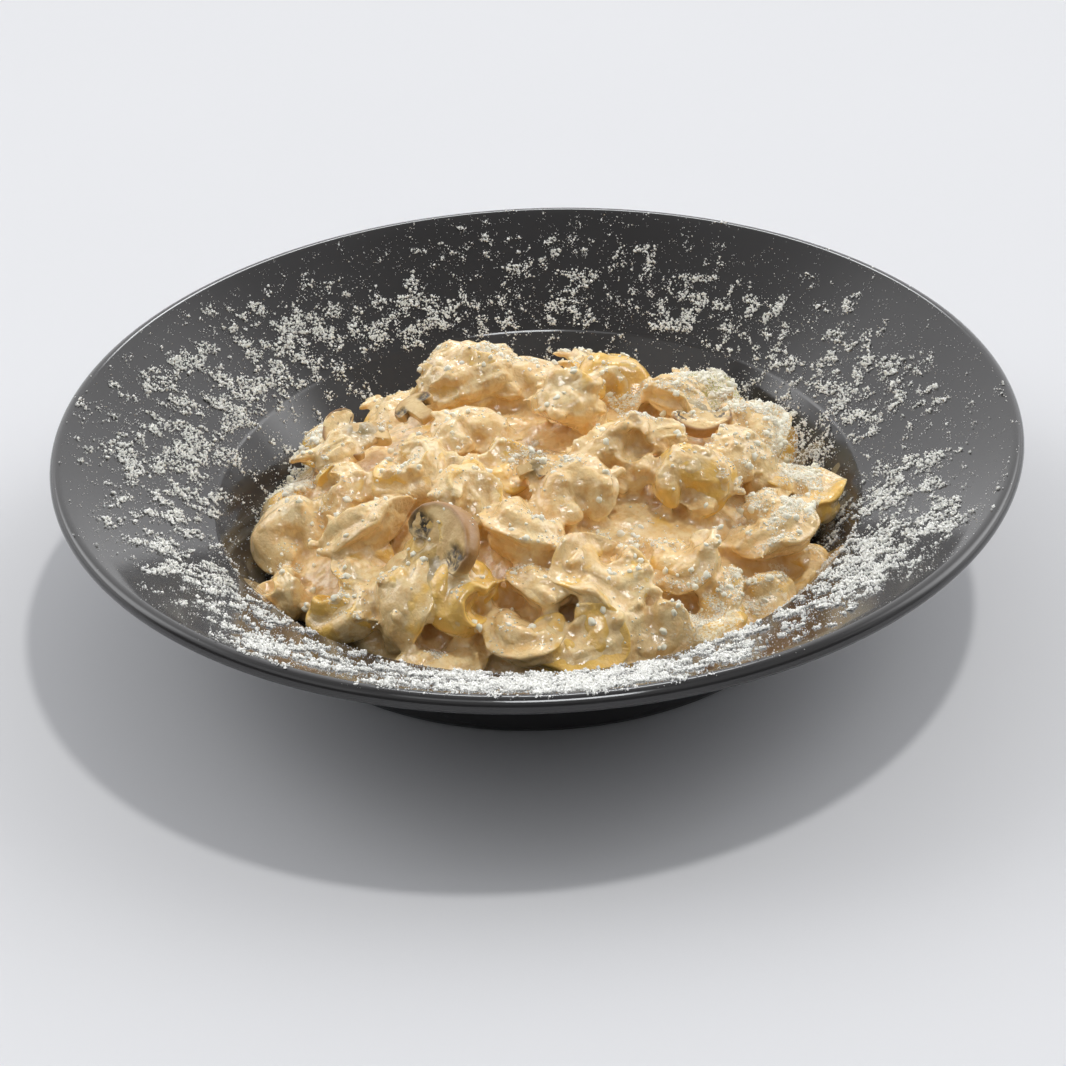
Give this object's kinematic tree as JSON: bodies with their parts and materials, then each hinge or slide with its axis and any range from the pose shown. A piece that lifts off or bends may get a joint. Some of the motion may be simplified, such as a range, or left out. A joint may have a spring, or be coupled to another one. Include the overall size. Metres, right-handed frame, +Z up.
{
  "type": "tortellini in a pasta plate",
  "caption": "Wide-rimmed charcoal pasta plate holding a mound of tortellini with mushroom slices and chicken in cream sauce, dusted with grated cheese.",
  "frame": {"origin": "centre of the plate's foot ring, on the surface it stands on", "axes": "+Z up, -Y towards the side that is nearest the viewer, +X to that viewer's right"},
  "size_m": [0.2998, 0.2998, 0.0568],
  "materials": {
    "glaze": "satin charcoal ceramic glaze",
    "sauce": "thick cream sauce, satin",
    "pasta": "cooked egg pasta, moist",
    "mushroom": "cooked sliced mushroom, moist",
    "chicken": "cooked chicken in sauce",
    "cheese": "finely grated hard cheese, dry"
  },
  "bodies": {
    "root": {"plate": "glaze", "sauce_core": "sauce", "tortellino_01": "pasta", "tortellino_02": "pasta", "tortellino_03": "pasta", "tortellino_04": "pasta", "tortellino_05": "pasta", "tortellino_06": "pasta", "tortellino_07": "pasta", "tortellino_08": "pasta", "tortellino_09": "pasta", "tortellino_10": "pasta", "tortellino_11": "pasta", "tortellino_12": "pasta", "tortellino_13": "pasta", "tortellino_14": "pasta", "tortellino_15": "pasta", "tortellino_16": "pasta", "tortellino_17": "pasta", "tortellino_18": "pasta", "tortellino_19": "pasta", "tortellino_20": "pasta", "tortellino_21": "pasta", "tortellino_22": "pasta", "tortellino_23": "pasta", "tortellino_24": "pasta", "tortellino_25": "pasta", "tortellino_26": "pasta", "tortellino_27": "pasta", "tortellino_28": "pasta", "tortellino_29": "pasta", "tortellino_30": "pasta", "tortellino_31": "pasta", "tortellino_32": "pasta", "tortellino_33": "pasta", "tortellino_34": "pasta", "tortellino_35": "pasta", "tortellino_36": "pasta", "tortellino_37": "pasta", "tortellino_38": "pasta", "tortellino_39": "pasta", "tortellino_40": "pasta", "tortellino_41": "pasta", "mushroom_01": "mushroom", "mushroom_02": "mushroom", "mushroom_03": "mushroom", "mushroom_04": "mushroom", "mushroom_05": "mushroom", "chicken_01": "chicken", "chicken_02": "chicken", "chicken_03": "chicken", "chicken_04": "chicken", "chicken_05": "chicken", "chicken_06": "chicken"}
  },
  "joints": []
}
